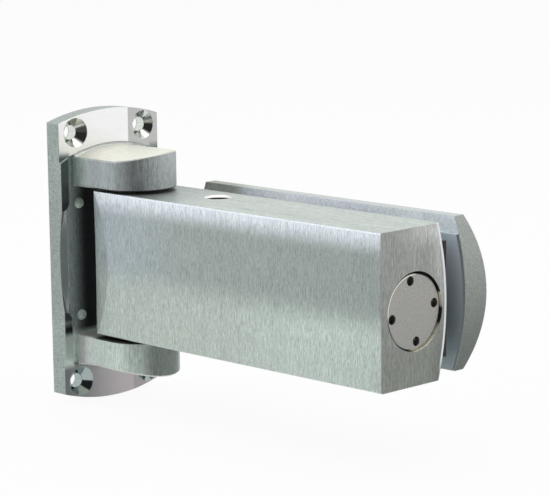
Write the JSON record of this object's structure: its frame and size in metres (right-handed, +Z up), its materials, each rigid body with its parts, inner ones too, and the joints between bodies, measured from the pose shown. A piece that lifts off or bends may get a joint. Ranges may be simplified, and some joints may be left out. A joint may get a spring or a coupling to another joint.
{
  "type": "hydraulic glass door hinge",
  "caption": "Hydraulic closer hinge for a frameless glass door: wall plate with an eared bracket, swinging closer body with end plug, and a crowned glass clamp.",
  "frame": {"origin": "on the wall plate's back face, at the closer body's mid-height", "axes": "+X out of the wall along the closer body, +Z up along the pivot, glass on the +Y side"},
  "size_m": [0.1935, 0.0738, 0.1318],
  "materials": {
    "satin_plate": "satin brushed, horizontal grain",
    "satin_bracket": "satin brushed, upright grain",
    "satin_body": "satin brushed, upright grain",
    "satin_clamp": "fine blasted satin",
    "plug_steel": "smooth turned, slightly warm",
    "rivet_steel": "low domed heads",
    "hardened_steel": "ground",
    "polished_steel": "polished",
    "piston_steel": "ground",
    "screw_steel": "plain",
    "spring_steel": "oiled",
    "bearing_bronze": "sintered",
    "washer_plastic": "moulded",
    "seal_rubber": "smooth",
    "gasket_black": "matt",
    "gasket_grey": "matt, blue grey"
  },
  "bodies": {
    "wall_side": {"wall_plate": "satin_plate", "pivot_bracket": "satin_bracket", "bracket_rivets": "rivet_steel", "cam_spindle": "hardened_steel", "spindle_lock_screws": "screw_steel", "upper_thrust_washer": "washer_plastic", "lower_thrust_washer": "washer_plastic"},
    "door_side": {"housing": "satin_body", "end_plug": "plug_steel", "end_plug_o_ring": "seal_rubber", "upper_bearing": "bearing_bronze", "lower_bearing": "bearing_bronze", "upper_shaft_seal": "seal_rubber", "lower_shaft_seal": "seal_rubber", "upper_bearing_cap": "screw_steel", "lower_bearing_cap": "screw_steel", "clamp_plate": "satin_clamp", "clamp_screws": "screw_steel", "screw_sleeves": "washer_plastic", "housing_gasket": "gasket_black", "clamp_gasket": "gasket_grey", "closing_spring": "spring_steel"},
    "piston_group": {"piston": "piston_steel", "piston_seal": "seal_rubber", "roller_pin": "hardened_steel", "check_ball_retainer": "screw_steel", "check_ball_spring": "spring_steel"},
    "roller": {"cam_roller": "hardened_steel"},
    "check_valve_ball": {"check_ball": "polished_steel"},
    "speed_valve": {"speed_valve_screw": "polished_steel", "speed_valve_o_ring": "seal_rubber"}
  },
  "joints": [
    {"name": "door_swing", "type": "hinge", "parent": "wall_side", "child": "door_side", "pos_m": [0.0316, -0.0041, 0], "axis": [0, 0, -1], "range_deg": [0, 90]},
    {"name": "piston_stroke", "type": "slide", "parent": "door_side", "child": "piston_group", "axis": [1, 0, 0], "range_m": [0, 0.00455], "deforming": ["closing_spring"]},
    {"name": "roller_spin", "type": "hinge", "parent": "piston_group", "child": "roller", "pos_m": [0.0424, -0.0041, 0], "axis": [0, 0, -1], "range_deg": [0, 130]},
    {"name": "check_ball_lift", "type": "slide", "parent": "piston_group", "child": "check_valve_ball", "axis": [-1, 0, 0], "range_m": [0, 0.0008], "stiffness_N_per_m": 100, "springref_m": -0.001, "deforming": ["check_ball_spring"]},
    {"name": "speed_valve_turn", "type": "hinge", "parent": "door_side", "child": "speed_valve", "pos_m": [0.076, 0.003, 0], "axis": [0, 0, 1], "range_deg": [-180, 180]}
  ],
  "couplings": [
    {"joint": "piston_stroke", "follows": "door_swing", "m_per_rad": 0.0028648},
    {"joint": "roller_spin", "follows": "door_swing", "ratio": 1.37}
  ]
}
